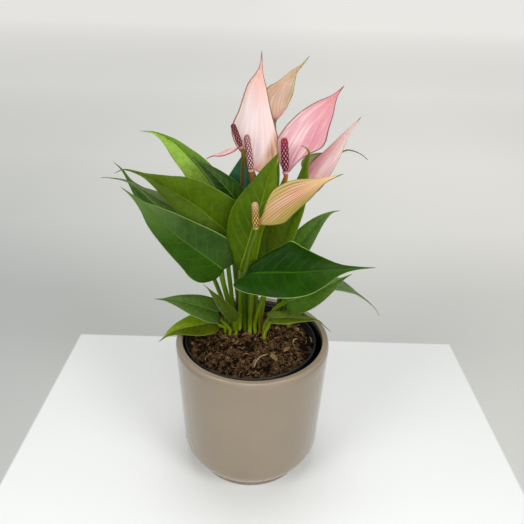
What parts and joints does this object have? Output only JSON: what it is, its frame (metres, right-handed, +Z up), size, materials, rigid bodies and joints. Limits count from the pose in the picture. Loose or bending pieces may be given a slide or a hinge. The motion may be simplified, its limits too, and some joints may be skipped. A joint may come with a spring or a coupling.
{
  "type": "potted anthurium",
  "caption": "Flowering plant with glossy heart-shaped leaves and pale pink spathes, in a black nursery pot set inside a rounded glazed cover pot.",
  "frame": {"origin": "centre of the flat foot under the cover pot, at the level that it stands on", "axes": "+Z up along the cover pot's axis; -Y towards the viewer of the picture, +X to that viewer's right"},
  "size_m": [0.2354, 0.136, 0.3671],
  "materials": {
    "glazed_stoneware": "glossy grey-beige glaze on stoneware",
    "black_polypropylene": "satin black moulded plastic",
    "potting_mix": "loose dark brown coir and peat mix",
    "leaf_dark": "smooth waxy living leaf",
    "leaf_olive": "smooth waxy living leaf",
    "leaf_lime_bright": "smooth waxy living leaf",
    "leaf_bluish": "smooth waxy living leaf",
    "leaf_yellow_green": "smooth waxy living leaf",
    "leaf_glossy_dark": "smooth waxy living leaf",
    "leaf_lime": "smooth waxy living leaf",
    "leaf_dull_olive": "smooth waxy living leaf",
    "leaf_mid": "smooth waxy living leaf",
    "peduncle": "smooth living stalk",
    "spathe_1": "waxy coloured spathe",
    "spadix_1": "spike covered in tiny florets",
    "spathe_2": "waxy coloured spathe",
    "spadix_2": "spike covered in tiny florets",
    "spathe_3": "waxy coloured spathe",
    "spadix_3": "spike covered in tiny florets",
    "spathe_4": "waxy coloured spathe",
    "spadix_4": "spike covered in tiny florets",
    "spathe_5": "waxy coloured spathe",
    "spadix_5": "spike covered in tiny florets",
    "spathe_6": "waxy coloured spathe",
    "spadix_6": "spike covered in tiny florets",
    "spathe_7": "waxy coloured spathe",
    "spadix_7": "spike covered in tiny florets"
  },
  "bodies": {
    "root": {"cover_pot": "glazed_stoneware", "nursery_pot": "black_polypropylene", "soil": "potting_mix", "leaf_a_front_left": "leaf_dark", "leaf_b_olive_left": "leaf_olive", "leaf_c_far_left": "leaf_dark", "leaf_d_edge_left": "leaf_dark", "leaf_e_lime_upper": "leaf_lime_bright", "leaf_f_dark_upper": "leaf_dark", "leaf_g_back_blue": "leaf_bluish", "leaf_h_centre": "leaf_yellow_green", "leaf_i_front_right": "leaf_glossy_dark", "leaf_j_right": "leaf_dark", "leaf_k_low_right": "leaf_dark", "leaf_l_drooping": "leaf_dark", "leaf_m_rim_right": "leaf_dark", "leaf_n_low_left": "leaf_dark", "leaf_o_lime_left": "leaf_lime", "leaf_p_small_curled": "leaf_dull_olive", "leaf_r_centre_right": "leaf_mid", "leaf_s_behind": "leaf_olive", "leaf_u_back_right": "leaf_dark", "bloom_1_peduncle": "peduncle", "bloom_1_spathe": "spathe_1", "bloom_1_spadix": "spadix_1", "bloom_2_peduncle": "peduncle", "bloom_2_spathe": "spathe_2", "bloom_2_spadix": "spadix_2", "bloom_3_peduncle": "peduncle", "bloom_3_spathe": "spathe_3", "bloom_3_spadix": "spadix_3", "bloom_4_peduncle": "peduncle", "bloom_4_spathe": "spathe_4", "bloom_4_spadix": "spadix_4", "bloom_5_peduncle": "peduncle", "bloom_5_spathe": "spathe_5", "bloom_5_spadix": "spadix_5", "bloom_6_peduncle": "peduncle", "bloom_6_spathe": "spathe_6", "bloom_6_spadix": "spadix_6", "bloom_7_peduncle": "peduncle", "bloom_7_spathe": "spathe_7", "bloom_7_spadix": "spadix_7"}
  },
  "joints": []
}
